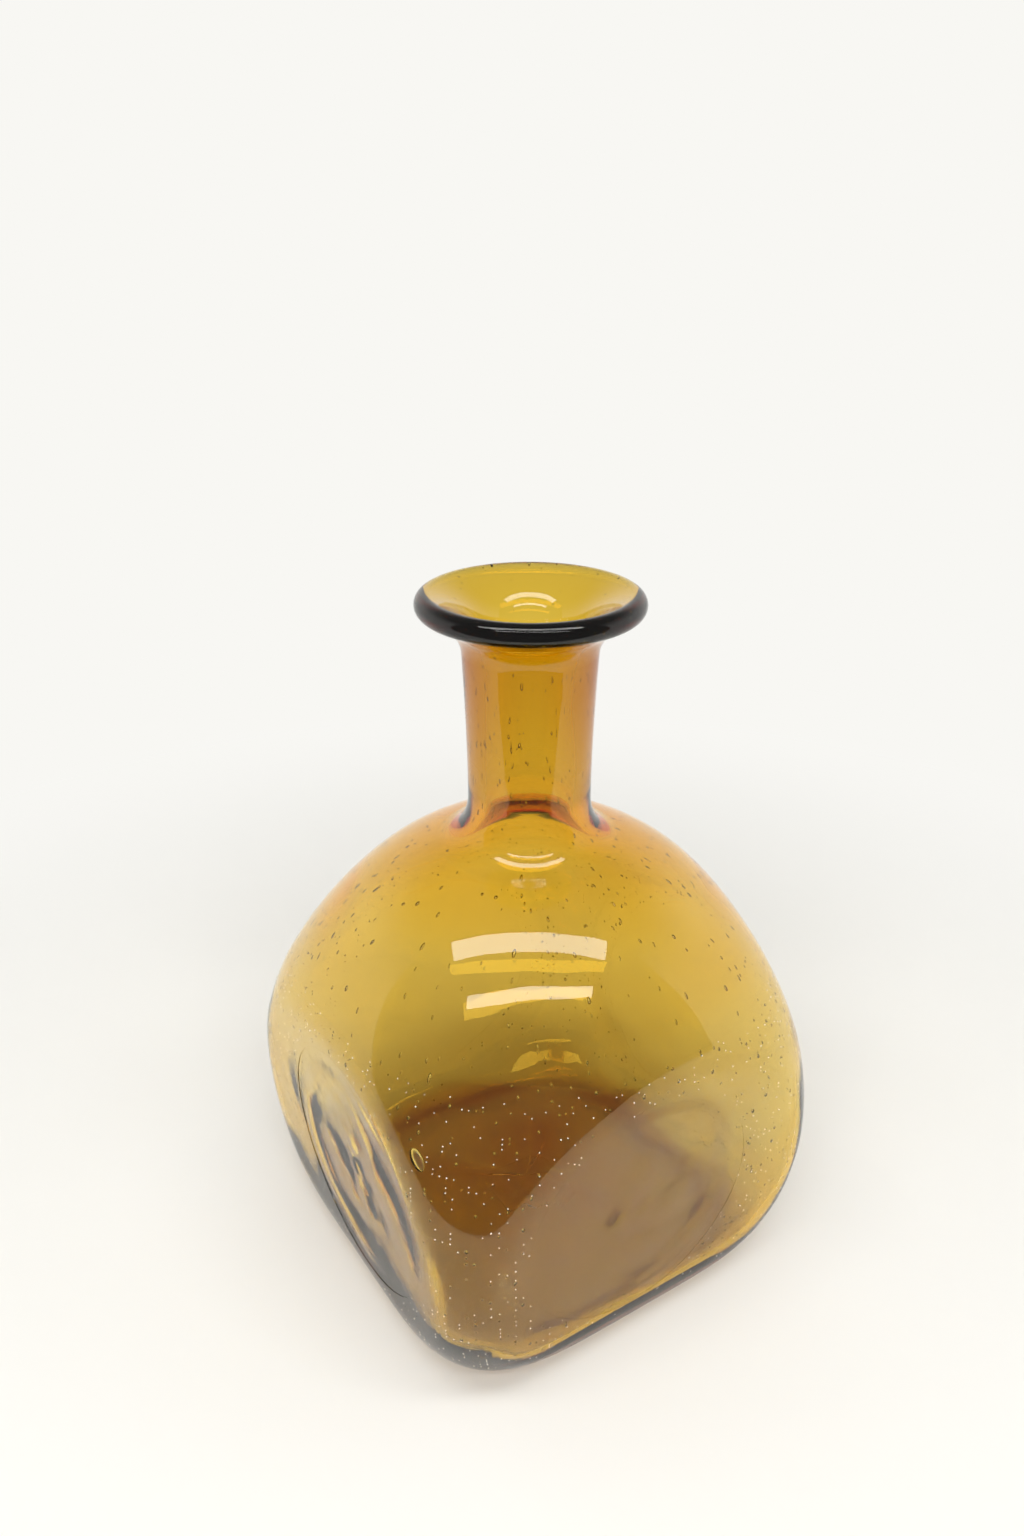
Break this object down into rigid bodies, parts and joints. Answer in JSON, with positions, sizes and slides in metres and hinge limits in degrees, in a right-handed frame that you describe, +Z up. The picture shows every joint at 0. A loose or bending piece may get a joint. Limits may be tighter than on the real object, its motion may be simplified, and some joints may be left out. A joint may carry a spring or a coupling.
{
  "type": "glass bottle vase",
  "caption": "Square-sided blown glass bottle vase with a narrow neck and a flared, rolled lip; holds stems or a small bunch of flowers.",
  "frame": {"origin": "centre of the foot, on the surface it stands on", "axes": "+Z up through the neck; the four flat sides look along +X, +Y, -X and -Y, with -Y as the front"},
  "size_m": [0.1296, 0.1296, 0.2],
  "materials": {
    "amber_glass": "fire-polished, clear",
    "thick_amber_glass": "fire-polished, clear, dark where thick",
    "stamped_glass": "stamped while hot, softly rippled"
  },
  "bodies": {
    "root": {"base_pad": "thick_amber_glass", "body_wall": "amber_glass", "shoulder_dome": "amber_glass", "neck_tube": "amber_glass", "mouth_flare": "amber_glass", "lip_roll": "thick_amber_glass", "pontil_scar": "thick_amber_glass", "face_seal_right": "stamped_glass", "face_seal_back": "stamped_glass", "face_seal_left": "stamped_glass", "face_seal_front": "stamped_glass"}
  },
  "joints": []
}
